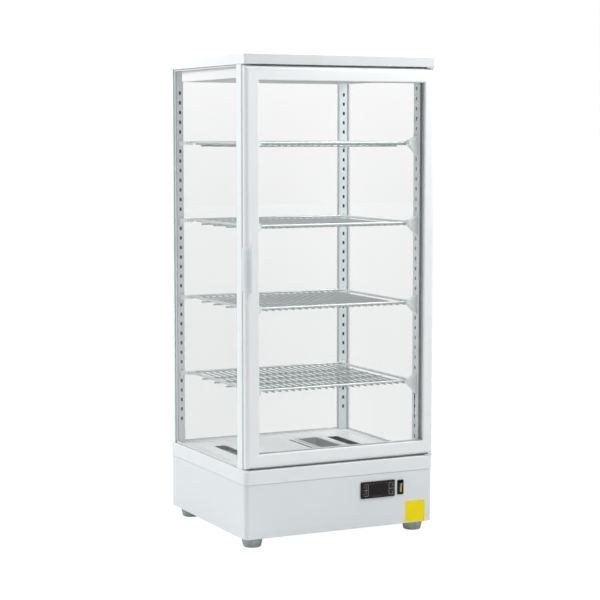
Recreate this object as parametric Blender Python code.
"""Heated counter-top display case: four-sided glass cabinet on a heated base.

Metres, +Z up. The origin is under the middle of the cabinet, on the counter. The door faces -Y and +X is to
the right of someone who faces the door. Every length below is the real object's own.
"""

import math

import bmesh
import bpy
from mathutils import Matrix, Vector

# Cabinet body
BODY_WIDTH = 0.418
BODY_DEPTH = 0.3755
CLEARANCE = 0.0003
CUT_OVERRUN = 0.004
PROUD_REACH = 0.007

# Feet
FOOT_HEIGHT = 0.020
FOOT_TOP_RADIUS = 0.0215
FOOT_SOLE_RADIUS = 0.018
FOOT_SOLE_ROUNDING = 0.003
FOOT_INSET_X = 0.030
FOOT_INSET_Y = 0.033
FOOT_SIDES = 20

# Base skirt, pan and rear panel
SKIRT_HEIGHT = 0.1067
SKIRT_INSET = 0.001
SKIRT_WALL = 0.002
FRONT_CORNER_RADIUS = 0.011
REAR_CORNER_RADIUS = 0.005
PAN_SHEET = 0.0015
PAN_LIP_HEIGHT = 0.015
REAR_OPENING_WIDTH = 0.300
REAR_OPENING_HEIGHT = 0.070
REAR_PANEL_OVERLAP = 0.010
REAR_PANEL_SHEET = 0.0015
VENT_COUNT = 7
VENT_PITCH = 0.012
VENT_WIDTH = 0.005
VENT_HEIGHT = 0.045
VENT_BANK_MARGIN = 0.070

# Deck moulding, deck plate and water pan
RIM_HEIGHT = 0.0277
RIM_WALL = 0.003
RIM_TOP_ROUNDING = 0.002
RIM_TOP_SHEET = 0.005
DECK_SHEET = 0.0015
DECK_SIDE_MARGIN = 0.028
DECK_FRONT_MARGIN = 0.037
DECK_REAR_MARGIN = 0.022
DECK_LEDGE = 0.007
DECK_CORNER_RADIUS = 0.004
AIR_SLOT_WIDTH = 0.027
AIR_SLOT_LENGTH = 0.136
SLOT_MIDDLE_Y = 0.032
LEFT_SLOT_share = -0.7569
RIGHT_SLOT_share = 0.6906
NARROW_SLOT_WIDTH = 0.006
NARROW_SLOT_share = 0.1381
PAN_OPENING_WIDTH = 0.050
PAN_OPENING_share = 0.3591
WATER_PAN_SHEET = 0.001
WATER_PAN_FLANGE = 0.004
WATER_PAN_DEPTH = 0.028
WATER_PAN_CORNER = 0.006

# Cabinet height, top frame, cap and lamp
CABINET_HEIGHT = 0.7783
CAP_HEIGHT = 0.0207
CAP_INSET = 0.0015
CAP_WALL = 0.0025
CAP_FLANGE = 0.024
CAP_CORNER_RADIUS = 0.003
CAP_TOP_ROUNDING = 0.0025
RAIL_HEIGHT = 0.0247
RAIL_THICKNESS = 0.006
CEILING_SHEET = 0.003
LAMP_END_MARGIN = 0.059
LAMP_WIDTH = 0.060
LAMP_DROP = 0.0085
LAMP_SHEET = 0.002
LAMP_FLANGE = 0.006
LAMP_FLANGE_SHEET = 0.0012
LAMP_CORNER_RADIUS = 0.008

# Corner posts and the holes for the shelf brackets
POST_INSET = 0.0025
POST_WIDTH = 0.024
POST_DEPTH = 0.024
POST_WALL = 0.0015
POST_EDGE_RADIUS = 0.002
REAR_POST_WIDTH = 0.0277
REAR_POST_DEPTH = 0.0384
REAR_POST_RADIUS = 0.008
REAR_POST_BLOCK = 0.0141
REAR_POST_CHAMFER = 0.0097
HOLE_PITCH = 0.020
HOLE_WIDTH = 0.0045
HOLE_HEIGHT = 0.007
FRONT_FIRST_HOLE = 0.0368
HOLE_TOP_MARGIN = 0.040
REAR_ROW_RISE = 0.0138
FRONT_HOLE_DEPTH = 0.012
REAR_HOLE_DEPTH = 0.005

# Glass
PANE_THICKNESS = 0.003
PANE_SPACE = 0.002
DOOR_GLASS_THICKNESS = 0.004

# Door
DOOR_THICKNESS = 0.015
DOOR_GAP = 0.003
DOOR_POST_GAP = 0.0035
LATCH_STILE = 0.0295
HINGE_STILE = 0.024
DOOR_RAIL = 0.028
DOOR_LATCH_INSET = 0.0025
DOOR_FRONT_ROUNDING = 0.010
DOOR_REAR_ROUNDING = 0.005
DOOR_INNER_ROUNDING = 0.0035
DOOR_GLASS_SETBACK = 0.0045
GLASS_GROOVE_DEPTH = 0.008
GASKET_SHEET = 0.0008
GASKET_SPREAD = 0.010
GASKET_THICKNESS = 0.0031
PIVOT_INSET_X = 0.008
PIVOT_INSET_Y = 0.0067
PIVOT_PIN_RADIUS = 0.003
PIVOT_PIN_REACH = 0.0125
PIVOT_PLATE_LENGTH = 0.018
PIVOT_PLATE_WIDTH = 0.0115
PIVOT_PLATE_SHEET = 0.0017
PIVOT_SIDES = 16
HANDLE_LENGTH = 0.086
HANDLE_FRONT_PROUD = 0.007
HANDLE_SIDE_PROUD = 0.0025
HANDLE_SIDE_REACH = 0.012
HANDLE_FRONT_REACH = 0.014
HANDLE_STATIONS = 9
HANDLE_ARC_STEPS = 6
HANDLE_END_share = 0.35

# Shelves and brackets
SHELF_COUNT = 4
LOWEST_SHELF_HOLE = 5
SHELF_POST_GAP = 0.0023
SHELF_FRONT_MARGIN = 0.0372
SHELF_REAR_MARGIN = 0.0292
SHELF_ROD = 0.006
SHELF_CORNER_X = 0.004
SHELF_CORNER_Y = 0.004
SHELF_WIRE = 0.0026
SHELF_WIRE_COUNT = 19
SHELF_CROSS_ROD = 0.004
SHELF_CROSS_RODS = 2
BRACKET_REACH = 0.0205
BRACKET_FRONT_SPREAD = 0.0075
BRACKET_TOP_RISE = 0.017
BRACKET_TIP_RISE = 0.0085
BRACKET_TIP_DROP = 0.0007
BRACKET_DROP = 0.0227
BRACKET_STEPS = 5
BRACKET_RISE_CURVE_share = 1.6
BRACKET_DROP_CURVE_share = 0.9
BRACKET_ROD_GAP = 0.0006
LEDGE_START = 0.007
LEDGE_END = 0.0155
LEDGE_SHEET = 0.0045
ARM_WIDTH = 0.009
ARM_SHOULDER = 0.0175
ARM_REACH = 0.027
ARM_ROOT_RISE = 0.005
ARM_SHOULDER_RISE = 0.0043
ARM_SHEET = 0.0025
ARM_DROP = 0.011
ARM_CURVE = 0.012
HOOK_DROP = 0.0097
HOOK_REACH = 0.0035
HOOK_ROOT = 0.003
HOOK_WIDTH = 0.0038
HOOK_HEIGHT = 0.0058

# Controller and lamp switch on the front of the base
CONTROLLER_WIDTH = 0.0775
CONTROLLER_HEIGHT = 0.0335
CONTROLLER_X = 0.0818
CONTROLLER_Z = 0.0751
CONTROLLER_PROUD = 0.0025
CONTROLLER_ROUNDING = 0.003
CONTROLLER_BODY_DEPTH = 0.040
CONTROLLER_BODY_MARGIN = 0.003
KEY_WIDTH = 0.007
KEY_HEIGHT = 0.006
KEY_DEPTH = 0.003
KEY_PROUD = 0.001
KEY_TRAVEL = 0.0008
KEY_EDGE_MARGIN = 0.0068
KEY_SPACING = 0.014
SWITCH_WIDTH = 0.014
SWITCH_HEIGHT = 0.0295
SWITCH_X = 0.1334
SWITCH_PROUD = 0.0015
SWITCH_SLEEVE_MARGIN = 0.0008
SWITCH_SLEEVE_DEPTH = 0.018
SWITCH_WALL = 0.0012
SWITCH_CAVITY_DEPTH = 0.012
ROCKER_HALF_HEIGHT = 0.0105
ROCKER_PIVOT_DEPTH = 0.004
ROCKER_CREST = 0.0035
ROCKER_SKIRT = 0.005
ROCKER_TILT = 0.14

# Heater, fan and cord gland in the base
HEATER_TUBE_RADIUS = 0.004
HEATER_SPREAD = 0.030
HEATER_LENGTH = 0.150
HEATER_MIDDLE_Y = 0.030
HEATER_RISE = 0.055
HEATER_BEND = 0.015
HEATER_BEND_STEPS = 4
FAN_SIDE = 0.092
FAN_THICKNESS = 0.025
FAN_BORE_RADIUS = 0.043
FAN_HUB_RADIUS = 0.018
FAN_BACK_SHEET = 0.004
FAN_STRUT_WIDTH = 0.006
FAN_STRUTS = 4
FAN_SPINDLE_RADIUS = 0.003
FAN_X = 0.0
FAN_Y = 0.060
IMPELLER_RADIUS = 0.041
IMPELLER_HUB_RADIUS = 0.017
IMPELLER_DEPTH = 0.018
IMPELLER_GAP = 0.001
BLADE_COUNT = 7
BLADE_SHEET = 0.002
BLADE_PITCH = 0.6
FAN_BORE_SIDES = 32
GLAND_EDGE_MARGIN = 0.020
GLAND_Z = 0.045
GLAND_FLANGE_RADIUS = 0.011
GLAND_FLANGE_SHEET = 0.003
GLAND_NOSE_RADIUS = 0.008
GLAND_SLEEVE_RADIUS = 0.007
GLAND_BORE_RADIUS = 0.004
GLAND_SIDES = 20
CORNER_STEPS = 3

# Levels and planes worked out from the sizes above
HALF_WIDTH = BODY_WIDTH / 2
HALF_DEPTH = BODY_DEPTH / 2
SKIRT_BOTTOM = FOOT_HEIGHT
SKIRT_TOP = SKIRT_BOTTOM + SKIRT_HEIGHT
RIM_BOTTOM = SKIRT_TOP + CLEARANCE
RIM_TOP = RIM_BOTTOM + RIM_HEIGHT
CAP_BOTTOM = RIM_TOP + CABINET_HEIGHT
CAP_TOP = CAP_BOTTOM + CAP_HEIGHT
POST_BOTTOM = RIM_TOP + CLEARANCE
POST_TOP = CAP_BOTTOM - CLEARANCE
RAIL_TOP = CAP_BOTTOM - CLEARANCE
RAIL_BOTTOM = RAIL_TOP - RAIL_HEIGHT
LAMP_LENGTH = BODY_WIDTH - 2 * LAMP_END_MARGIN
SKIRT_HALF_WIDTH = HALF_WIDTH - SKIRT_INSET
SKIRT_HALF_DEPTH = HALF_DEPTH - SKIRT_INSET
PAN_HALF_WIDTH = SKIRT_HALF_WIDTH - SKIRT_WALL - CLEARANCE
PAN_HALF_DEPTH = SKIRT_HALF_DEPTH - SKIRT_WALL - CLEARANCE
PAN_FLOOR = SKIRT_BOTTOM + PAN_SHEET
DECK_HALF_WIDTH = HALF_WIDTH - DECK_SIDE_MARGIN
LEFT_SLOT_X = LEFT_SLOT_share * DECK_HALF_WIDTH
RIGHT_SLOT_X = RIGHT_SLOT_share * DECK_HALF_WIDTH
NARROW_SLOT_X = NARROW_SLOT_share * DECK_HALF_WIDTH
PAN_OPENING_X = PAN_OPENING_share * DECK_HALF_WIDTH
HEATER_X = RIGHT_SLOT_X
VENT_BANK_OFFSET = REAR_OPENING_WIDTH / 2 - VENT_BANK_MARGIN
GLAND_X = GLAND_EDGE_MARGIN - REAR_OPENING_WIDTH / 2
DECK_FRONT = -HALF_DEPTH + DECK_FRONT_MARGIN
DECK_REAR = HALF_DEPTH - DECK_REAR_MARGIN
DOOR_FRONT = -HALF_DEPTH
DOOR_BACK = DOOR_FRONT + DOOR_THICKNESS
DOOR_BOTTOM = RIM_TOP + DOOR_GAP
DOOR_TOP = CAP_BOTTOM - DOOR_GAP
DOOR_LEFT = -HALF_WIDTH + DOOR_LATCH_INSET
DOOR_RIGHT = HALF_WIDTH
POST_OUTER_X = HALF_WIDTH - POST_INSET
POST_INNER_X = POST_OUTER_X - POST_WIDTH
FRONT_POST_FRONT = DOOR_BACK + DOOR_POST_GAP
FRONT_POST_REAR = FRONT_POST_FRONT + POST_DEPTH
REAR_FACE = HALF_DEPTH - CLEARANCE
GLASS_UNIT = 2 * PANE_THICKNESS + PANE_SPACE
FLANGE_OUTER_X = POST_OUTER_X - GLASS_UNIT - CLEARANCE
FLANGE_INNER_X = FLANGE_OUTER_X - POST_WALL
FLANGE_OUTER_Y = REAR_FACE - GLASS_UNIT - CLEARANCE
FLANGE_INNER_Y = FLANGE_OUTER_Y - POST_WALL
REAR_FLANGE_X = POST_OUTER_X - REAR_POST_WIDTH
REAR_FLANGE_Y = REAR_FACE - REAR_POST_DEPTH
REAR_BLOCK_Y = REAR_FACE - REAR_POST_BLOCK
SHELF_HALF_WIDTH = REAR_FLANGE_X - SHELF_POST_GAP
FRONT_HOLE_SPAN = CABINET_HEIGHT - FRONT_FIRST_HOLE - HOLE_TOP_MARGIN
REAR_HOLE_SPAN = FRONT_HOLE_SPAN - REAR_ROW_RISE
FRONT_HOLE_COUNT = int(FRONT_HOLE_SPAN / HOLE_PITCH) + 1
REAR_HOLE_COUNT = int(REAR_HOLE_SPAN / HOLE_PITCH) + 1
SHELF_STEP_HOLES = round((FRONT_HOLE_COUNT - LOWEST_SHELF_HOLE) / SHELF_COUNT)
PIVOT_X = DOOR_RIGHT - PIVOT_INSET_X
PIVOT_Y = DOOR_FRONT + PIVOT_INSET_Y
FRONT_HOLE_Y = FRONT_POST_FRONT + FRONT_HOLE_DEPTH
REAR_HOLE_X = FLANGE_INNER_X - REAR_POST_CHAMFER / 2
REAR_HOLE_Y = FLANGE_INNER_Y - REAR_POST_CHAMFER / 2
FACE_Y = -SKIRT_HALF_DEPTH

WHITE = (0.82, 0.83, 0.84)
SHADE_WHITE = (0.70, 0.72, 0.72)
STEEL = (0.55, 0.57, 0.58)
BRIGHT_WIRE = (0.62, 0.64, 0.64)
BLACK = (0.02, 0.02, 0.022)
DARK_GREY = (0.10, 0.10, 0.105)
FOOT_GREY = (0.24, 0.26, 0.26)
GLASS_TINT = (0.80, 0.88, 0.86)
LAMP_WHITE = (0.92, 0.92, 0.90)
KEY_GREY = (0.20, 0.20, 0.21)


def clear_scene():
    for obj in list(bpy.data.objects):
        bpy.data.objects.remove(obj, do_unlink=True)


def finish(name, colour, roughness=0.4, metallic=0.0, alpha=1.0):
    """A plain Principled material, made once for each name."""
    material = bpy.data.materials.get(name)
    if material is None:
        material = bpy.data.materials.new(name)
        material.use_nodes = True
        shader = material.node_tree.nodes["Principled BSDF"]
        shader.inputs["Base Color"].default_value = (*colour, 1.0)
        shader.inputs["Roughness"].default_value = roughness
        shader.inputs["Metallic"].default_value = metallic
        shader.inputs["Alpha"].default_value = alpha
        material.diffuse_color = (*colour, alpha)
    return material


def white_enamel():
    return finish("white_enamel", WHITE, roughness=0.35)


def white_plastic():
    return finish("white_plastic", WHITE, roughness=0.45)


def clear_glass():
    return finish("clear_glass", GLASS_TINT, roughness=0.03, alpha=0.25)


def new_object(name, mesh, material, origin=(0.0, 0.0, 0.0)):
    """An object for the mesh, whose points are given in world places and moved to its origin."""
    mesh.transform(Matrix.Translation(-Vector(origin)))
    mesh.materials.clear()
    mesh.materials.append(material)
    obj = bpy.data.objects.new(name, mesh)
    obj.location = origin
    bpy.context.scene.collection.objects.link(obj)
    return obj


def mesh_from(points, faces):
    mesh = bpy.data.meshes.new("shape")
    mesh.from_pydata([tuple(point) for point in points], [], faces)
    shape = bmesh.new()
    shape.from_mesh(mesh)
    bmesh.ops.recalc_face_normals(shape, faces=shape.faces)
    shape.to_mesh(mesh)
    shape.free()
    return mesh


def box_mesh(*boxes):
    """One mesh of separate boxes, each given as its lowest and its highest corner."""
    points = []
    faces = []
    for low, high in boxes:
        first = len(points)
        for z in (low[2], high[2]):
            points += [(low[0], low[1], z), (high[0], low[1], z), (high[0], high[1], z), (low[0], high[1], z)]
        for quad in ((0, 3, 2, 1), (4, 5, 6, 7), (0, 1, 5, 4), (1, 2, 6, 5), (2, 3, 7, 6), (3, 0, 4, 7)):
            faces.append([first + index for index in quad])
    return mesh_from(points, faces)


def loft(loops, cyclic=False):
    """A closed solid through loops of as many points each: a ring where cyclic, and otherwise capped at both ends."""
    count = len(loops[0])
    points = [point for loop in loops for point in loop]
    faces = []
    pairs = len(loops) if cyclic else len(loops) - 1
    for step in range(pairs):
        first = step * count
        second = (step + 1) % len(loops) * count
        for index in range(count):
            following = (index + 1) % count
            faces.append([first + index, first + following, second + following, second + index])
    if not cyclic:
        faces.append(list(range(count)))
        faces.append([(len(loops) - 1) * count + index for index in reversed(range(count))])
    return mesh_from(points, faces)


def rounded_outline(x0, x1, y0, y1, front_radius, rear_radius, steps=CORNER_STEPS):
    """Points round a rectangle, with its front corners and its rear corners rounded."""
    corners = (
        (x1 - front_radius, y0 + front_radius, front_radius, -90),
        (x1 - rear_radius, y1 - rear_radius, rear_radius, 0),
        (x0 + rear_radius, y1 - rear_radius, rear_radius, 90),
        (x0 + front_radius, y0 + front_radius, front_radius, 180),
    )
    outline = []
    for x, y, radius, start in corners:
        for step in range(steps + 1):
            angle = math.radians(start + 90 * step / steps)
            outline.append((x + radius * math.cos(angle), y + radius * math.sin(angle)))
    return outline


def level(outline, z):
    return [(x, y, z) for x, y in outline]


def prism(outline, z0, z1):
    return loft([level(outline, z0), level(outline, z1)])


def turned(profile, sides, centre, axis="Z"):
    """A solid turned from a closed profile of radius and height pairs about an axis through centre."""
    loops = []
    for radius, height in profile:
        loop = []
        for side in range(sides):
            angle = 2 * math.pi * side / sides
            across, along = radius * math.cos(angle), radius * math.sin(angle)
            offset = (across, along, height) if axis == "Z" else (across, height, along)
            loop.append(tuple(c + o for c, o in zip(centre, offset)))
        loops.append(loop)
    return loops


def combine(obj, mesh, operation, name):
    """Cuts the mesh from the object, or joins it on, with a hidden helper and a Boolean modifier."""
    helper = bpy.data.objects.new(name, mesh)
    helper.hide_render = True
    helper.display_type = "WIRE"
    bpy.context.scene.collection.objects.link(helper)
    helper.parent = obj
    helper.matrix_parent_inverse = Matrix.Translation(-Vector(obj.location))
    modifier = obj.modifiers.new(name, "BOOLEAN")
    modifier.operation = operation
    modifier.solver = "EXACT"
    modifier.object = helper
    return helper


def cut(obj, mesh, name):
    return combine(obj, mesh, "DIFFERENCE", name)


def join(obj, mesh, name):
    return combine(obj, mesh, "UNION", name)


def smooth(obj, angle=40):
    obj.data.shade_smooth()
    obj.data.set_sharp_from_angle(angle=math.radians(angle))
    return obj


def make_feet():
    profile = (
        (FOOT_SOLE_RADIUS - FOOT_SOLE_ROUNDING, 0.0),
        (FOOT_SOLE_RADIUS, FOOT_SOLE_ROUNDING),
        (FOOT_TOP_RADIUS, FOOT_HEIGHT - CLEARANCE),
    )
    for side, x in (("left", -HALF_WIDTH + FOOT_INSET_X), ("right", HALF_WIDTH - FOOT_INSET_X)):
        for end, y in (("front", -HALF_DEPTH + FOOT_INSET_Y), ("rear", HALF_DEPTH - FOOT_INSET_Y)):
            mesh = loft(turned(profile, FOOT_SIDES, (x, y, 0.0)))
            smooth(new_object(f"foot_{end}_{side}", mesh, finish("foot_rubber", FOOT_GREY, roughness=0.8)))


def body_outline(half_width, half_depth, inset=0.0):
    """The rounded outline that the skirt, the pan and the deck moulding share, drawn in by an inset."""
    return rounded_outline(
        -half_width + inset,
        half_width - inset,
        -half_depth + inset,
        half_depth - inset,
        FRONT_CORNER_RADIUS - inset,
        max(REAR_CORNER_RADIUS - inset, CLEARANCE),
    )


def make_base_pan():
    outer = body_outline(PAN_HALF_WIDTH, PAN_HALF_DEPTH)
    inner = body_outline(PAN_HALF_WIDTH, PAN_HALF_DEPTH, PAN_SHEET)
    lip = SKIRT_BOTTOM + PAN_LIP_HEIGHT
    loops = [level(inner, PAN_FLOOR), level(inner, lip), level(outer, lip), level(outer, SKIRT_BOTTOM)]
    new_object("base_pan", loft(loops), finish("zinc_sheet", STEEL, roughness=0.45, metallic=0.8))


def make_base_skirt():
    outer = body_outline(SKIRT_HALF_WIDTH, SKIRT_HALF_DEPTH)
    inner = body_outline(SKIRT_HALF_WIDTH, SKIRT_HALF_DEPTH, SKIRT_WALL)
    loops = [level(outer, SKIRT_BOTTOM), level(outer, SKIRT_TOP), level(inner, SKIRT_TOP), level(inner, SKIRT_BOTTOM)]
    skirt = new_object("base_skirt", loft(loops, cyclic=True), white_enamel())
    wall_front = -SKIRT_HALF_DEPTH - CUT_OVERRUN
    wall_back = -SKIRT_HALF_DEPTH + SKIRT_WALL + CUT_OVERRUN
    windows = []
    for x, width, height in (
        (CONTROLLER_X, CONTROLLER_WIDTH - 2 * CONTROLLER_BODY_MARGIN, CONTROLLER_HEIGHT - 2 * CONTROLLER_BODY_MARGIN),
        (SWITCH_X, SWITCH_WIDTH - 2 * SWITCH_SLEEVE_MARGIN, SWITCH_HEIGHT - 2 * SWITCH_SLEEVE_MARGIN),
    ):
        half_x = width / 2 + CLEARANCE
        half_z = height / 2 + CLEARANCE
        middle = SKIRT_BOTTOM + CONTROLLER_Z
        windows.append(((x - half_x, wall_front, middle - half_z), (x + half_x, wall_back, middle + half_z)))
    middle = (SKIRT_BOTTOM + SKIRT_TOP) / 2
    rear = SKIRT_HALF_DEPTH
    windows.append((
        (-REAR_OPENING_WIDTH / 2, rear - SKIRT_WALL - CUT_OVERRUN, middle - REAR_OPENING_HEIGHT / 2),
        (REAR_OPENING_WIDTH / 2, rear + CUT_OVERRUN, middle + REAR_OPENING_HEIGHT / 2),
    ))
    cut(skirt, box_mesh(*windows), "skirt_windows")


def make_rear_panel():
    """The plate over the rear opening, with two banks of upright vents and the hole of the cord gland."""
    middle = (SKIRT_BOTTOM + SKIRT_TOP) / 2
    front = SKIRT_HALF_DEPTH + CLEARANCE
    back = front + REAR_PANEL_SHEET
    half_width = REAR_OPENING_WIDTH / 2 + REAR_PANEL_OVERLAP
    half_height = REAR_OPENING_HEIGHT / 2 + REAR_PANEL_OVERLAP
    box = ((-half_width, front, middle - half_height), (half_width, back, middle + half_height))
    panel = new_object("rear_panel", box_mesh(box), white_enamel())
    vents = []
    for bank in (-VENT_BANK_OFFSET, VENT_BANK_OFFSET):
        for index in range(VENT_COUNT):
            x = bank + (index - (VENT_COUNT - 1) / 2) * VENT_PITCH
            vents.append((
                (x - VENT_WIDTH / 2, front - CUT_OVERRUN, middle - VENT_HEIGHT / 2),
                (x + VENT_WIDTH / 2, back + CUT_OVERRUN, middle + VENT_HEIGHT / 2),
            ))
    cut(panel, box_mesh(*vents), "rear_vents")
    radius = GLAND_SLEEVE_RADIUS + CLEARANCE
    hole = turned(((radius, front - CUT_OVERRUN), (radius, back + CUT_OVERRUN)), GLAND_SIDES, gland_place(), "Y")
    cut(panel, loft(hole), "gland_hole")


def gland_place():
    return (GLAND_X, 0.0, SKIRT_BOTTOM + GLAND_Z)


def make_cord_gland():
    """The bush that the mains cord would leave by: a flange, a nose and a sleeve through the rear panel."""
    plate_front = SKIRT_HALF_DEPTH + CLEARANCE
    flange_front = plate_front + REAR_PANEL_SHEET + CLEARANCE
    sleeve_end = plate_front - SKIRT_WALL
    tip = HALF_DEPTH + PROUD_REACH
    profile = (
        (GLAND_BORE_RADIUS, sleeve_end),
        (GLAND_SLEEVE_RADIUS, sleeve_end),
        (GLAND_SLEEVE_RADIUS, flange_front),
        (GLAND_FLANGE_RADIUS, flange_front),
        (GLAND_FLANGE_RADIUS, flange_front + GLAND_FLANGE_SHEET),
        (GLAND_NOSE_RADIUS, flange_front + GLAND_FLANGE_SHEET),
        (GLAND_NOSE_RADIUS, tip),
        (GLAND_BORE_RADIUS, tip),
    )
    loops = turned(profile, GLAND_SIDES, gland_place(), "Y")
    smooth(new_object("cord_gland", loft(loops, cyclic=True), finish("black_plastic", BLACK, roughness=0.5)))


def deck_outline(inset=0.0):
    return rounded_outline(
        -DECK_HALF_WIDTH + inset,
        DECK_HALF_WIDTH - inset,
        DECK_FRONT + inset,
        DECK_REAR - inset,
        DECK_CORNER_RADIUS,
        DECK_CORNER_RADIUS,
    )


def make_deck_frame():
    """The moulding over the skirt: outer wall, top land for posts and glass, and the ledge of the deck plate."""
    outer = body_outline(HALF_WIDTH, HALF_DEPTH)
    eased = body_outline(HALF_WIDTH, HALF_DEPTH, RIM_TOP_ROUNDING)
    hollow = body_outline(HALF_WIDTH, HALF_DEPTH, RIM_WALL)
    recess = deck_outline(-CLEARANCE)
    opening = deck_outline(DECK_LEDGE)
    ledge = RIM_TOP - DECK_SHEET - CLEARANCE
    underside = RIM_TOP - RIM_TOP_SHEET
    loops = [
        level(outer, RIM_BOTTOM),
        level(outer, RIM_TOP - RIM_TOP_ROUNDING),
        level(eased, RIM_TOP),
        level(recess, RIM_TOP),
        level(recess, ledge),
        level(opening, ledge),
        level(opening, underside),
        level(hollow, underside),
        level(hollow, RIM_BOTTOM),
    ]
    new_object("deck_frame", loft(loops, cyclic=True), white_plastic())


def slot_outline(x, width):
    """An outline in the deck, as long as the air slots, centred on x."""
    y0 = SLOT_MIDDLE_Y - AIR_SLOT_LENGTH / 2
    y1 = SLOT_MIDDLE_Y + AIR_SLOT_LENGTH / 2
    radius = min(WATER_PAN_CORNER, width / 2 - CLEARANCE)
    return rounded_outline(x - width / 2, x + width / 2, y0, y1, radius, radius)


def make_deck_plate():
    bottom = RIM_TOP - DECK_SHEET
    plate = new_object("deck_plate", prism(deck_outline(), bottom, RIM_TOP), white_enamel())
    for name, x, width in (
        ("left_air_slot", LEFT_SLOT_X, AIR_SLOT_WIDTH),
        ("right_air_slot", RIGHT_SLOT_X, AIR_SLOT_WIDTH),
        ("narrow_slot", NARROW_SLOT_X, NARROW_SLOT_WIDTH),
        ("water_pan_opening", PAN_OPENING_X, PAN_OPENING_WIDTH),
    ):
        cut(plate, prism(slot_outline(x, width), bottom - CUT_OVERRUN, RIM_TOP + CUT_OVERRUN), name)


def make_water_pan():
    """The lift-out pan that hangs by its flange in the deck's wide opening."""
    def outline(inset):
        y0 = SLOT_MIDDLE_Y - AIR_SLOT_LENGTH / 2 + inset
        y1 = SLOT_MIDDLE_Y + AIR_SLOT_LENGTH / 2 - inset
        half = PAN_OPENING_WIDTH / 2 - inset
        return rounded_outline(PAN_OPENING_X - half, PAN_OPENING_X + half, y0, y1, WATER_PAN_CORNER, WATER_PAN_CORNER)

    flange_low = RIM_TOP + CLEARANCE
    flange_high = flange_low + WATER_PAN_SHEET
    bottom = flange_high - WATER_PAN_DEPTH
    wall = 2 * CLEARANCE
    loops = [
        level(outline(wall + WATER_PAN_SHEET), bottom + WATER_PAN_SHEET),
        level(outline(wall + WATER_PAN_SHEET), flange_high),
        level(outline(-WATER_PAN_FLANGE), flange_high),
        level(outline(-WATER_PAN_FLANGE), flange_low),
        level(outline(wall), flange_low),
        level(outline(wall), bottom),
    ]
    steel = finish("stainless_steel", STEEL, roughness=0.3, metallic=1.0)
    origin = (PAN_OPENING_X, SLOT_MIDDLE_Y, RIM_TOP)
    new_object("water_pan", loft(loops), steel, origin)


def front_post_outline(side, inset=0.0):
    """The front post's square outline from above, with its edges eased."""
    ends = sorted((side * POST_INNER_X, side * POST_OUTER_X))
    radius = max(POST_EDGE_RADIUS - inset, CLEARANCE)
    return rounded_outline(
        ends[0] + inset,
        ends[1] - inset,
        FRONT_POST_FRONT + inset,
        FRONT_POST_REAR - inset,
        radius,
        radius,
    )


def rear_post_outline(side):
    """The rear post from above: a flange behind each glass wall, a chamfer between them, a rounded outer block."""
    outline = [
        (REAR_FLANGE_X, FLANGE_INNER_Y),
        (FLANGE_INNER_X - REAR_POST_CHAMFER, FLANGE_INNER_Y),
        (FLANGE_INNER_X, FLANGE_INNER_Y - REAR_POST_CHAMFER),
        (FLANGE_INNER_X, REAR_FLANGE_Y),
        (FLANGE_OUTER_X, REAR_FLANGE_Y),
        (FLANGE_OUTER_X, REAR_BLOCK_Y),
        (POST_OUTER_X, REAR_BLOCK_Y),
    ]
    for step in range(CORNER_STEPS + 1):
        angle = math.radians(90 * step / CORNER_STEPS)
        x = POST_OUTER_X - REAR_POST_RADIUS * (1 - math.cos(angle))
        outline.append((x, REAR_FACE - REAR_POST_RADIUS * (1 - math.sin(angle))))
    outline += [(FLANGE_OUTER_X, REAR_FACE), (FLANGE_OUTER_X, FLANGE_OUTER_Y), (REAR_FLANGE_X, FLANGE_OUTER_Y)]
    return [(side * x, y) for x, y in outline]


def hole_levels(front):
    """The heights of one post's bracket holes."""
    first = RIM_TOP + FRONT_FIRST_HOLE + (0.0 if front else REAR_ROW_RISE)
    return [first + index * HOLE_PITCH for index in range(FRONT_HOLE_COUNT if front else REAR_HOLE_COUNT)]


def hole_face(side, front):
    """Where a post's hole column meets its face from above, and the direction into the post."""
    if front:
        return (side * POST_INNER_X, FRONT_HOLE_Y), (side * 1.0, 0.0)
    half_turn = math.sqrt(0.5)
    return (side * REAR_HOLE_X, REAR_HOLE_Y), (side * half_turn, half_turn)


def bars(side, front, start, end, width, height, levels):
    """A mesh of upright-sided bars on a post's hole column, running from start to end into the post."""
    (face_x, face_y), (into_x, into_y) = hole_face(side, front)
    points = []
    faces = []
    for z in levels:
        first = len(points)
        for along in (start, end):
            for across, rise in ((-width, -height), (width, -height), (width, height), (-width, height)):
                x = face_x + into_x * along - into_y * across / 2
                y = face_y + into_y * along + into_x * across / 2
                points.append((x, y, z + rise / 2))
        for quad in ((0, 1, 2, 3), (4, 5, 6, 7), (0, 1, 5, 4), (1, 2, 6, 5), (2, 3, 7, 6), (3, 0, 4, 7)):
            faces.append([first + index for index in quad])
    return mesh_from(points, faces)


def make_posts():
    for side_name, side in (("left", -1), ("right", 1)):
        outer = front_post_outline(side)
        inner = front_post_outline(side, POST_WALL)
        loops = [level(outer, POST_BOTTOM), level(outer, POST_TOP), level(inner, POST_TOP), level(inner, POST_BOTTOM)]
        post = new_object(f"post_front_{side_name}", loft(loops, cyclic=True), white_enamel())
        holes = bars(side, True, -POST_WALL, 2 * POST_WALL, HOLE_WIDTH, HOLE_HEIGHT, hole_levels(True))
        cut(post, holes, f"post_front_{side_name}_holes")
        profile = prism(rear_post_outline(side), POST_BOTTOM, POST_TOP)
        post = new_object(f"post_rear_{side_name}", profile, white_enamel())
        holes = bars(side, False, -POST_WALL, REAR_HOLE_DEPTH, HOLE_WIDTH, HOLE_HEIGHT, hole_levels(False))
        cut(post, holes, f"post_rear_{side_name}_holes")


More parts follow.
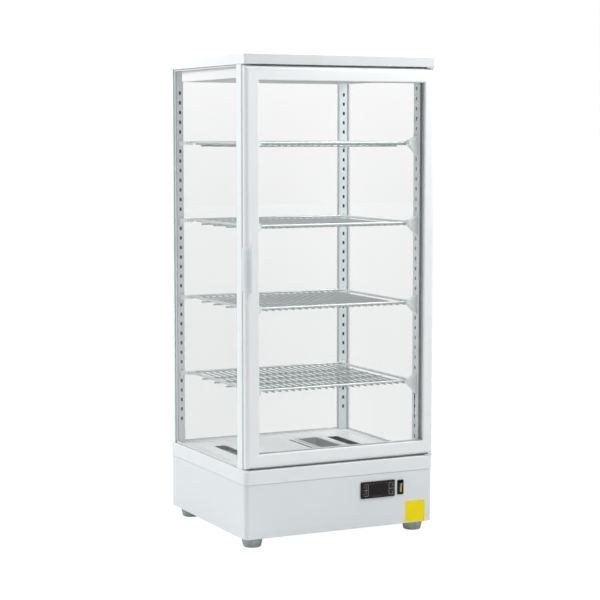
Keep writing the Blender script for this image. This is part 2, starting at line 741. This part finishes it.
def make_glass_walls():
    """The side and rear walls, each a pair of panes with a space between them."""
    low = RIM_TOP + CLEARANCE
    high = CAP_BOTTOM - CLEARANCE
    for pane, depth in (("outer", 0.0), ("inner", PANE_THICKNESS + PANE_SPACE)):
        for side_name, side in (("left", -1), ("right", 1)):
            face = POST_OUTER_X - depth
            ends = sorted((side * face, side * (face - PANE_THICKNESS)))
            corner = (ends[0], FRONT_POST_REAR + CLEARANCE, low)
            opposite = (ends[1], REAR_BLOCK_Y - CLEARANCE, high)
            new_object(f"{side_name}_glass_{pane}", box_mesh((corner, opposite)), clear_glass())
        half = FLANGE_OUTER_X - CLEARANCE
        face = REAR_FACE - depth
        box = ((-half, face - PANE_THICKNESS, low), (half, face, high))
        new_object(f"rear_glass_{pane}", box_mesh(box), clear_glass())


def lamp_outline(margin=0.0):
    half_x = LAMP_LENGTH / 2 + margin
    half_y = LAMP_WIDTH / 2 + margin
    return rounded_outline(-half_x, half_x, -half_y, half_y, LAMP_CORNER_RADIUS, LAMP_CORNER_RADIUS)


def make_top_frame():
    """A ceiling with the lamp's opening and a rail round it, stepped in where the four posts stand."""
    front_x = POST_INNER_X - CLEARANCE
    side_x = FLANGE_INNER_X - CLEARANCE
    rear_x = REAR_FLANGE_X - CLEARANCE
    front_y = FRONT_POST_FRONT + CLEARANCE
    step_y = FRONT_POST_REAR + CLEARANCE
    flange_y = REAR_FLANGE_Y - CLEARANCE
    rear_y = FLANGE_OUTER_Y - CLEARANCE

    def outline(inset):
        half = [
            (front_x - inset, front_y + inset),
            (front_x - inset, step_y + inset),
            (side_x - inset, step_y + inset),
            (side_x - inset, flange_y - inset),
            (rear_x - inset, flange_y - inset),
            (rear_x - inset, rear_y - inset),
        ]
        return half + [(-x, y) for x, y in reversed(half)]

    ceiling = RAIL_TOP - CEILING_SHEET
    loops = [
        level(outline(RAIL_THICKNESS), ceiling),
        level(outline(RAIL_THICKNESS), RAIL_BOTTOM),
        level(outline(0.0), RAIL_BOTTOM),
        level(outline(0.0), RAIL_TOP),
    ]
    frame = new_object("top_frame", loft(loops), white_plastic())
    opening = prism(lamp_outline(CLEARANCE), ceiling - CUT_OVERRUN, RAIL_TOP + CUT_OVERRUN)
    cut(frame, opening, "lamp_opening")


def make_top_cap():
    """The hollow moulded cap, with a flange underneath that seats on the posts and the top frame."""
    half_width = HALF_WIDTH - CAP_INSET
    half_depth = HALF_DEPTH

    def outline(inset, radius):
        x = half_width - inset
        y = half_depth - inset
        return rounded_outline(-x, x, -y, y, radius, radius)

    floor = CAP_BOTTOM + CAP_WALL
    roof = CAP_TOP - CAP_WALL
    inner_radius = max(CAP_CORNER_RADIUS - CAP_WALL, CLEARANCE)
    loops = [
        level(outline(CAP_WALL, inner_radius), roof),
        level(outline(CAP_WALL, inner_radius), floor),
        level(outline(CAP_FLANGE, inner_radius), floor),
        level(outline(CAP_FLANGE, inner_radius), CAP_BOTTOM),
        level(outline(0.0, CAP_CORNER_RADIUS), CAP_BOTTOM),
        level(outline(0.0, CAP_CORNER_RADIUS), CAP_TOP - CAP_TOP_ROUNDING),
        level(outline(CAP_TOP_ROUNDING, CAP_CORNER_RADIUS), CAP_TOP),
    ]
    new_object("top_cap", loft(loops), white_plastic())


def make_lamp():
    """The diffuser that drops into the ceiling, open above for the lamp in the cap."""
    flange_low = RAIL_TOP + CLEARANCE
    flange_high = flange_low + LAMP_FLANGE_SHEET
    bottom = RAIL_TOP - CEILING_SHEET - LAMP_DROP
    loops = [
        level(lamp_outline(-LAMP_SHEET), bottom + LAMP_SHEET),
        level(lamp_outline(-LAMP_SHEET), flange_high),
        level(lamp_outline(LAMP_FLANGE), flange_high),
        level(lamp_outline(LAMP_FLANGE), flange_low),
        level(lamp_outline(), flange_low),
        level(lamp_outline(), bottom),
    ]
    new_object("lamp_cover", loft(loops), finish("lamp_diffuser", LAMP_WHITE, roughness=0.5))


def door_rectangle(inner, offset, y):
    """A loop round the door: its outer edge drawn in by offset, or its glass opening let out by offset."""
    x0, x1, z0, z1 = DOOR_LEFT, DOOR_RIGHT, DOOR_BOTTOM, DOOR_TOP
    if inner:
        x0 += LATCH_STILE - offset
        x1 -= HINGE_STILE - offset
        z0 += DOOR_RAIL - offset
        z1 -= DOOR_RAIL - offset
    else:
        x0, x1, z0, z1 = x0 + offset, x1 - offset, z0 + offset, z1 - offset
    return [(x0, y, z0), (x1, y, z0), (x1, y, z1), (x0, y, z1)]


def rounded_edge(inner, radius, y_flat, towards, outwards):
    """Loops of a quarter round on the door's edge, from its flat face to its side, or back where outwards is false."""
    loops = []
    for step in range(CORNER_STEPS + 1):
        angle = math.radians(90 * step / CORNER_STEPS)
        offset = radius * (1 - math.cos(angle)) if outwards else radius * (1 - math.sin(angle))
        rise = radius * (1 - math.sin(angle)) if outwards else radius * (1 - math.cos(angle))
        loops.append(door_rectangle(inner, offset, y_flat + towards * rise))
    return loops


def make_door():
    glass_front = DOOR_FRONT + DOOR_GLASS_SETBACK
    glass_back = glass_front + DOOR_GLASS_THICKNESS
    groove_front = glass_front - CLEARANCE
    groove_back = glass_back + CLEARANCE
    loops = rounded_edge(False, DOOR_REAR_ROUNDING, DOOR_BACK, -1, False)
    loops += rounded_edge(False, DOOR_FRONT_ROUNDING, DOOR_FRONT, 1, True)
    loops += rounded_edge(True, DOOR_INNER_ROUNDING, DOOR_FRONT, 1, False)
    loops += [
        door_rectangle(True, 0.0, groove_front),
        door_rectangle(True, GLASS_GROOVE_DEPTH, groove_front),
        door_rectangle(True, GLASS_GROOVE_DEPTH, groove_back),
        door_rectangle(True, 0.0, groove_back),
        door_rectangle(True, 0.0, DOOR_BACK),
    ]
    pivot = (PIVOT_X, PIVOT_Y, 0.0)
    frame = new_object("door_frame", loft(loops, cyclic=True), white_plastic(), pivot)
    for name, z0, z1 in (
        ("lower_pin_hole", DOOR_BOTTOM - CUT_OVERRUN, DOOR_BOTTOM + PIVOT_PIN_REACH),
        ("upper_pin_hole", DOOR_TOP - PIVOT_PIN_REACH, DOOR_TOP + CUT_OVERRUN),
    ):
        radius = PIVOT_PIN_RADIUS + CLEARANCE
        cut(frame, loft(turned(((radius, z0), (radius, z1)), PIVOT_SIDES, pivot)), name)
    depth = GLASS_GROOVE_DEPTH - CLEARANCE
    pane = loft([door_rectangle(True, depth, glass_front), door_rectangle(True, depth, glass_back)])
    new_object("door_glass", pane, clear_glass(), pivot)
    make_door_gasket(groove_back + CLEARANCE, pivot)
    make_door_handle(pivot)


def make_door_gasket(lining_front, pivot):
    """The dark seal: a lining inside the glass opening and a lip behind the door that meets the posts."""
    lip_front = DOOR_BACK + CLEARANCE
    lip_back = lip_front + GASKET_THICKNESS - CLEARANCE
    loops = [
        door_rectangle(True, -CLEARANCE, lining_front),
        door_rectangle(True, -CLEARANCE, lip_front),
        door_rectangle(True, GASKET_SPREAD, lip_front),
        door_rectangle(True, GASKET_SPREAD, lip_back),
        door_rectangle(True, -GASKET_SHEET, lip_back),
        door_rectangle(True, -GASKET_SHEET, lining_front),
    ]
    new_object("door_gasket", loft(loops, cyclic=True), finish("seal_rubber", DARK_GREY, roughness=0.7), pivot)


def make_door_handle(pivot):
    """A barrel-shaped edge pull that wraps the door's front corner, thickest at its middle."""
    centre_x = DOOR_LEFT + DOOR_FRONT_ROUNDING
    centre_y = DOOR_FRONT + DOOR_FRONT_ROUNDING
    middle = (DOOR_BOTTOM + DOOR_TOP) / 2
    seat = DOOR_FRONT_ROUNDING + CLEARANCE
    angles = [math.radians(180 + 90 * step / HANDLE_ARC_STEPS) for step in range(HANDLE_ARC_STEPS + 1)]
    side_end = DOOR_FRONT + HANDLE_SIDE_REACH
    front_end = DOOR_LEFT + HANDLE_FRONT_REACH
    inner = [(DOOR_LEFT - CLEARANCE, side_end)]
    inner += [(centre_x + seat * math.cos(a), centre_y + seat * math.sin(a)) for a in angles]
    inner += [(front_end, DOOR_FRONT - CLEARANCE)]
    loops = []
    for station in range(HANDLE_STATIONS):
        along = 2 * station / (HANDLE_STATIONS - 1) - 1
        swell = HANDLE_END_share + (1 - HANDLE_END_share) * math.sqrt(max(1 - along ** 2, 0.0))
        side = DOOR_FRONT_ROUNDING + HANDLE_SIDE_PROUD * swell
        front = DOOR_FRONT_ROUNDING + HANDLE_FRONT_PROUD * swell
        outer = [(DOOR_LEFT - HANDLE_SIDE_PROUD * swell, side_end)]
        outer += [(centre_x + side * math.cos(a), centre_y + front * math.sin(a)) for a in angles]
        outer += [(front_end, DOOR_FRONT - HANDLE_FRONT_PROUD * swell)]
        loops.append(level(outer + inner[::-1], middle + along * HANDLE_LENGTH / 2))
    handle = finish("handle_plastic", SHADE_WHITE, roughness=0.4)
    smooth(new_object("door_handle", loft(loops), handle, pivot))


def make_pivots():
    """The two fixed hinge plates, each with the pin that the door turns on."""
    for name, plate, pin in (
        (
            "door_pivot_bottom",
            (RIM_TOP + CLEARANCE, RIM_TOP + CLEARANCE + PIVOT_PLATE_SHEET),
            (RIM_TOP + CLEARANCE, DOOR_BOTTOM + PIVOT_PIN_REACH - 2 * CLEARANCE),
        ),
        (
            "door_pivot_top",
            (CAP_BOTTOM - CLEARANCE - PIVOT_PLATE_SHEET, CAP_BOTTOM - CLEARANCE),
            (DOOR_TOP - PIVOT_PIN_REACH + 2 * CLEARANCE, CAP_BOTTOM - CLEARANCE),
        ),
    ):
        x1 = DOOR_RIGHT - SKIRT_INSET
        y0 = DOOR_FRONT + SKIRT_INSET
        box = ((x1 - PIVOT_PLATE_LENGTH, y0, plate[0]), (x1, y0 + PIVOT_PLATE_WIDTH, plate[1]))
        steel = finish("stainless_steel", STEEL, roughness=0.3, metallic=1.0)
        pivot = new_object(name, box_mesh(box), steel)
        shaft = turned(((PIVOT_PIN_RADIUS, pin[0]), (PIVOT_PIN_RADIUS, pin[1])), PIVOT_SIDES, (PIVOT_X, PIVOT_Y, 0.0))
        join(pivot, loft(shaft), f"{name}_pin")


def shelf_hook_levels():
    """For each shelf, the height of the front hole that its front brackets hook into."""
    holes = hole_levels(True)
    return [holes[LOWEST_SHELF_HOLE + SHELF_STEP_HOLES * index] for index in range(SHELF_COUNT)]


def shelf_outline(inset):
    """The shelf's perimeter with its corners cut across, drawn in by an inset."""
    x = SHELF_HALF_WIDTH - inset
    y0 = -HALF_DEPTH + SHELF_FRONT_MARGIN + inset
    y1 = HALF_DEPTH - SHELF_REAR_MARGIN - inset
    cut_x = SHELF_CORNER_X
    cut_y = SHELF_CORNER_Y
    return [
        (-x + cut_x, y0), (x - cut_x, y0), (x, y0 + cut_y), (x, y1 - cut_y),
        (x - cut_x, y1), (-x + cut_x, y1), (-x, y1 - cut_y), (-x, y0 + cut_y),
    ]


def make_shelf(name, seat):
    """One wire shelf whose perimeter rod rests at the seat height."""
    half = SHELF_ROD / 2
    middle = seat + half
    loops = []
    for side in range(6):
        angle = math.radians(60 * side)
        loops.append(level(shelf_outline(-half * math.cos(angle)), middle + half * math.sin(angle)))
    y0 = -HALF_DEPTH + SHELF_FRONT_MARGIN
    y1 = HALF_DEPTH - SHELF_REAR_MARGIN
    origin = (0.0, 0.0, seat)
    shelf = new_object(name, loft(loops, cyclic=True), finish("shelf_wire", BRIGHT_WIRE, 0.3, 0.9), origin)
    rods = []
    for index in range(SHELF_CROSS_RODS):
        y = y0 + (y1 - y0) * (index + 1) / (SHELF_CROSS_RODS + 1)
        low = (-SHELF_HALF_WIDTH, y - SHELF_CROSS_ROD / 2, middle - SHELF_CROSS_ROD / 2)
        rods.append((low, (SHELF_HALF_WIDTH, y + SHELF_CROSS_ROD / 2, middle + SHELF_CROSS_ROD / 2)))
    join(shelf, box_mesh(*rods), f"{name}_rods")
    wires = []
    span = SHELF_HALF_WIDTH - SHELF_CORNER_X
    wire_low = middle + SHELF_CROSS_ROD / 2 - SHELF_WIRE / 2
    for index in range(SHELF_WIRE_COUNT):
        x = -span + 2 * span * index / (SHELF_WIRE_COUNT - 1)
        low = (x - SHELF_WIRE / 2, y0, wire_low)
        wires.append((low, (x + SHELF_WIRE / 2, y1, wire_low + SHELF_WIRE)))
    join(shelf, box_mesh(*wires), f"{name}_wires")


def bracket_solid(side, front, profile, across):
    """A prism with this side view (distance from the post and height) between two distances across its hole."""
    (face_x, face_y), (into_x, into_y) = hole_face(side, front)
    loops = []
    for width in across:
        loop = []
        for along, z in profile:
            x = face_x - into_x * along - side * into_y * width
            loop.append((x, face_y - into_y * along + side * into_x * width, z))
        loops.append(loop)
    return loft(loops)


def front_bracket_profile(top):
    """The front bracket's side view: a plate beside the shelf, deepest at the post."""
    upper = []
    lower = []
    for step in range(BRACKET_STEPS + 1):
        left = 1 - step / BRACKET_STEPS
        along = CLEARANCE + (BRACKET_REACH - CLEARANCE) * (1 - left)
        rise = (BRACKET_TOP_RISE - BRACKET_TIP_RISE) * left**BRACKET_RISE_CURVE_share
        drop = (BRACKET_DROP - BRACKET_TIP_DROP) * left**BRACKET_DROP_CURVE_share
        upper.append((along, top + BRACKET_TIP_RISE + rise))
        lower.append((along, top - BRACKET_TIP_DROP - drop))
    return upper + lower[::-1]


def rear_bracket_profile(top):
    """The rear bracket's side view: an arm with a shoulder behind the shelf's corner and a ledge under it."""
    profile = [
        (CLEARANCE, top + ARM_ROOT_RISE),
        (ARM_SHOULDER, top + ARM_SHOULDER_RISE),
        (ARM_SHOULDER, top),
        (ARM_REACH, top),
        (ARM_REACH, top - ARM_SHEET),
    ]
    for step in range(BRACKET_STEPS + 1):
        angle = math.radians(90 * step / BRACKET_STEPS)
        along = CLEARANCE + (ARM_CURVE - CLEARANCE) * (1 - math.sin(angle))
        profile.append((along, top - ARM_SHEET - (ARM_DROP - ARM_SHEET) * (1 - math.cos(angle))))
    return profile


def make_bracket(name, side, front, top):
    """A shelf bracket hooked into its post's holes, with the shelf's rod on its ledge."""
    hook_levels = [top - HOOK_DROP, top - HOOK_DROP + HOLE_PITCH]
    if front:
        rod_front = -HALF_DEPTH + SHELF_FRONT_MARGIN - SHELF_ROD / 2
        plate_back = rod_front - BRACKET_ROD_GAP - FRONT_HOLE_Y
        solid = bracket_solid(side, True, front_bracket_profile(top), (-BRACKET_FRONT_SPREAD, plate_back))
        bracket = new_object(name, solid, white_plastic())
        ledge_back = plate_back + BRACKET_ROD_GAP + SHELF_ROD
        ledge = [(LEDGE_START, top), (LEDGE_END, top), (LEDGE_END, top - LEDGE_SHEET), (LEDGE_START, top - LEDGE_SHEET)]
        join(bracket, bracket_solid(side, True, ledge, (0.0, ledge_back)), f"{name}_ledge")
    else:
        across = (-ARM_WIDTH / 2, ARM_WIDTH / 2)
        bracket = new_object(name, bracket_solid(side, False, rear_bracket_profile(top), across), white_plastic())
        hook_levels = [top - HOOK_DROP + REAR_ROW_RISE]
    join(bracket, bars(side, front, -HOOK_ROOT, HOOK_REACH, HOOK_WIDTH, HOOK_HEIGHT, hook_levels), f"{name}_hooks")


def make_shelves():
    for index, hook in enumerate(shelf_hook_levels(), start=1):
        top = hook + HOOK_DROP
        make_shelf(f"shelf_{index}", top + CLEARANCE)
        for side_name, side in (("left", -1), ("right", 1)):
            for end_name, front in (("front", True), ("rear", False)):
                make_bracket(f"bracket_{index}_{end_name}_{side_name}", side, front, top)


def face_outline(x, width, height, radius):
    """A rounded rectangle on the front of the base, as x and z pairs about the controller's height."""
    z = SKIRT_BOTTOM + CONTROLLER_Z
    return rounded_outline(x - width / 2, x + width / 2, z - height / 2, z + height / 2, radius, radius)


def upright(outline, y):
    return [(x, y, z) for x, z in outline]


def key_places():
    """The middle of each controller key, left pair first, upper key first."""
    z = SKIRT_BOTTOM + CONTROLLER_Z
    reach = CONTROLLER_WIDTH / 2 - KEY_EDGE_MARGIN
    return [(CONTROLLER_X + side * reach, z + rise * KEY_SPACING / 2) for side in (-1, 1) for rise in (1, -1)]


def make_controller():
    bezel_back = FACE_Y - CLEARANCE
    front = bezel_back - CONTROLLER_PROUD
    bezel = face_outline(CONTROLLER_X, CONTROLLER_WIDTH, CONTROLLER_HEIGHT, CONTROLLER_ROUNDING)
    margin = 2 * CONTROLLER_BODY_MARGIN
    body = face_outline(CONTROLLER_X, CONTROLLER_WIDTH - margin, CONTROLLER_HEIGHT - margin, CONTROLLER_ROUNDING)
    loops = [upright(bezel, front), upright(bezel, bezel_back), upright(body, bezel_back)]
    loops += [upright(body, bezel_back + CONTROLLER_BODY_DEPTH)]
    controller = new_object("controller_body", loft(loops), finish("black_plastic", BLACK, roughness=0.5))
    pockets = []
    for index, (x, z) in enumerate(key_places(), start=1):
        half_x = KEY_WIDTH / 2
        half_z = KEY_HEIGHT / 2
        key_front = front - KEY_PROUD
        key_back = key_front + KEY_DEPTH
        key = box_mesh(((x - half_x, key_front, z - half_z), (x + half_x, key_back, z + half_z)))
        new_object(f"controller_key_{index}", key, finish("key_plastic", KEY_GREY, roughness=0.4), (x, key_front, z))
        pocket_back = key_back + KEY_TRAVEL + CLEARANCE
        pockets.append((
            (x - half_x - CLEARANCE, front - CUT_OVERRUN, z - half_z - CLEARANCE),
            (x + half_x + CLEARANCE, pocket_back, z + half_z + CLEARANCE),
        ))
    cut(controller, box_mesh(*pockets), "key_pockets")


def make_lamp_switch():
    """The rocker switch beside the controller: a sleeve with a collar, and the rocker that tilts in it."""
    collar_back = FACE_Y - CLEARANCE
    front = collar_back - SWITCH_PROUD
    collar = face_outline(SWITCH_X, SWITCH_WIDTH, SWITCH_HEIGHT, SWITCH_WALL)
    margin = 2 * SWITCH_SLEEVE_MARGIN
    sleeve = face_outline(SWITCH_X, SWITCH_WIDTH - margin, SWITCH_HEIGHT - margin, SWITCH_WALL)
    wall = margin + 2 * SWITCH_WALL
    cavity_width = SWITCH_WIDTH - wall
    cavity = face_outline(SWITCH_X, cavity_width, SWITCH_HEIGHT - wall, SWITCH_WALL)
    loops = [
        upright(cavity, front + SWITCH_CAVITY_DEPTH),
        upright(cavity, front),
        upright(collar, front),
        upright(collar, collar_back),
        upright(sleeve, collar_back),
        upright(sleeve, collar_back + SWITCH_SLEEVE_DEPTH),
    ]
    black = finish("black_plastic", BLACK, roughness=0.5)
    new_object("switch_body", loft(loops), black)
    pivot_y = front + ROCKER_PIVOT_DEPTH
    pivot_z = SKIRT_BOTTOM + CONTROLLER_Z
    half_x = cavity_width / 2 - CLEARANCE
    profile = (
        (-ROCKER_PIVOT_DEPTH - ROCKER_CREST / 2, ROCKER_HALF_HEIGHT),
        (-ROCKER_PIVOT_DEPTH, 0.0),
        (-ROCKER_PIVOT_DEPTH - ROCKER_CREST / 2, -ROCKER_HALF_HEIGHT),
        (0.0, -ROCKER_HALF_HEIGHT),
        (ROCKER_SKIRT, 0.0),
        (0.0, ROCKER_HALF_HEIGHT),
    )
    cosine = math.cos(ROCKER_TILT)
    sine = math.sin(ROCKER_TILT)
    loops = []
    for end in (-1, 1):
        loop = [(SWITCH_X + end * half_x, pivot_y + y * cosine - z * sine, pivot_z + y * sine + z * cosine) for y, z in profile]
        loops.append(loop)
    new_object("switch_rocker", loft(loops), black, (SWITCH_X, pivot_y, pivot_z))


def heater_route():
    """The element's path: up from the pan, back along one side, round, forward again and down."""
    z0 = PAN_FLOOR + CLEARANCE
    z1 = z0 + HEATER_RISE
    y0 = HEATER_MIDDLE_Y - HEATER_LENGTH / 2
    y1 = HEATER_MIDDLE_Y + HEATER_LENGTH / 2
    half = HEATER_SPREAD / 2
    route = [(-half, y0, z0), (-half, y0, z1 - HEATER_BEND)]
    for step in range(1, HEATER_BEND_STEPS + 1):
        angle = math.radians(90 * step / HEATER_BEND_STEPS)
        rise = z1 - HEATER_BEND * (1 - math.sin(angle))
        route.append((-half, y0 + HEATER_BEND * (1 - math.cos(angle)), rise))
    for step in range(2 * HEATER_BEND_STEPS + 1):
        angle = math.radians(180 - 180 * step / (2 * HEATER_BEND_STEPS))
        route.append((half * math.cos(angle), y1 - half + half * math.sin(angle), z1))
    back = [(half, y, z) for x, y, z in reversed(route) if x == -half and y < y1 - half]
    return [(HEATER_X + x, y, z) for x, y, z in route + back]


def make_heater():
    curve = bpy.data.curves.new("heater_tube", "CURVE")
    curve.dimensions = "3D"
    curve.bevel_depth = HEATER_TUBE_RADIUS
    curve.bevel_resolution = 1
    curve.use_fill_caps = True
    route = heater_route()
    spline = curve.splines.new("POLY")
    spline.points.add(len(route) - 1)
    for point, place in zip(spline.points, route):
        point.co = (*place, 1.0)
    curve.materials.append(finish("heater_steel", DARK_GREY, roughness=0.5, metallic=0.8))
    heater = bpy.data.objects.new("heater", curve)
    bpy.context.scene.collection.objects.link(heater)


def fan_centre():
    return (FAN_X, FAN_Y, PAN_FLOOR + CLEARANCE + FAN_SIDE / 2)


def circle_loop(radius, y, centre, sides=FAN_BORE_SIDES):
    return turned(((radius, y),), sides, centre, "Y")[0]


def make_fan():
    """A square fan that stands on the pan: frame with a spider and a spindle, and the impeller on it."""
    centre = fan_centre()
    half = FAN_SIDE / 2
    low = (centre[0] - half, centre[1] - FAN_THICKNESS / 2, centre[2] - half)
    high = (centre[0] + half, centre[1] + FAN_THICKNESS / 2, centre[2] + half)
    black = finish("black_plastic", BLACK, roughness=0.5)
    frame = new_object("fan_frame", box_mesh((low, high)), black)
    bore = loft([circle_loop(FAN_BORE_RADIUS, end * (FAN_THICKNESS / 2 + CUT_OVERRUN), centre) for end in (-1, 1)])
    cut(frame, bore, "fan_bore")
    back = FAN_THICKNESS / 2
    hub = [circle_loop(FAN_HUB_RADIUS, back - FAN_BACK_SHEET, centre), circle_loop(FAN_HUB_RADIUS, back, centre)]
    join(frame, loft(hub), "fan_hub")
    reach = FAN_BORE_RADIUS + CUT_OVERRUN / 2
    half_strut = FAN_STRUT_WIDTH / 2
    y0 = centre[1] + back - FAN_BACK_SHEET + CLEARANCE
    y1 = centre[1] + back - CLEARANCE
    struts = (
        ((centre[0] - reach, y0, centre[2] - half_strut), (centre[0] + reach, y1, centre[2] + half_strut)),
        ((centre[0] - half_strut, y0, centre[2] - reach), (centre[0] + half_strut, y1, centre[2] + reach)),
    )
    for index, strut in enumerate(struts, start=1):
        join(frame, box_mesh(strut), f"fan_strut_{index}")
    spindle_front = back - FAN_BACK_SHEET - IMPELLER_GAP - IMPELLER_DEPTH / 2
    spindle = [
        circle_loop(FAN_SPINDLE_RADIUS, spindle_front, centre, PIVOT_SIDES),
        circle_loop(FAN_SPINDLE_RADIUS, back - FAN_BACK_SHEET / 2, centre, PIVOT_SIDES),
    ]
    join(frame, loft(spindle), "fan_spindle")
    make_impeller(centre, back - FAN_BACK_SHEET - IMPELLER_GAP, spindle_front, black)


def make_impeller(centre, rear, spindle_front, material):
    front = rear - IMPELLER_DEPTH
    hub = [circle_loop(IMPELLER_HUB_RADIUS, front, centre), circle_loop(IMPELLER_HUB_RADIUS, rear, centre)]
    impeller = smooth(new_object("fan_impeller", loft(hub), material, centre))
    blades = []
    for index in range(BLADE_COUNT):
        turn = Matrix.Rotation(2 * math.pi * index / BLADE_COUNT, 4, "Y")
        pitch = Matrix.Rotation(BLADE_PITCH, 4, "X")
        inner = IMPELLER_HUB_RADIUS - BLADE_SHEET
        half_chord = IMPELLER_DEPTH / 2 - BLADE_SHEET
        corners = [
            Vector((x, y, z))
            for x in (inner, IMPELLER_RADIUS)
            for y in (-half_chord, half_chord)
            for z in (-BLADE_SHEET / 2, BLADE_SHEET / 2)
        ]
        place = Matrix.Translation(Vector(centre) + Vector((0.0, (front + rear) / 2, 0.0)))
        first = len(blades) * 8
        points = [place @ turn @ pitch @ corner for corner in corners]
        faces = [(0, 1, 3, 2), (4, 6, 7, 5), (0, 4, 5, 1), (2, 3, 7, 6), (0, 2, 6, 4), (1, 5, 7, 3)]
        blades.append((points, [[first + corner for corner in face] for face in faces]))
    points = [point for blade, _ in blades for point in blade]
    faces = [face for _, blade in blades for face in blade]
    join(impeller, mesh_from(points, faces), "impeller_blades")
    radius = FAN_SPINDLE_RADIUS + CLEARANCE
    bore = [
        circle_loop(radius, spindle_front - CLEARANCE, centre, PIVOT_SIDES),
        circle_loop(radius, rear + CUT_OVERRUN, centre, PIVOT_SIDES),
    ]
    cut(impeller, loft(bore), "impeller_bore")


def main():
    clear_scene()
    make_feet()
    make_base_pan()
    make_base_skirt()
    make_rear_panel()
    make_cord_gland()
    make_deck_frame()
    make_deck_plate()
    make_water_pan()
    make_posts()
    make_glass_walls()
    make_top_frame()
    make_top_cap()
    make_lamp()
    make_door()
    make_pivots()
    make_shelves()
    make_controller()
    make_lamp_switch()
    make_heater()
    make_fan()


main()
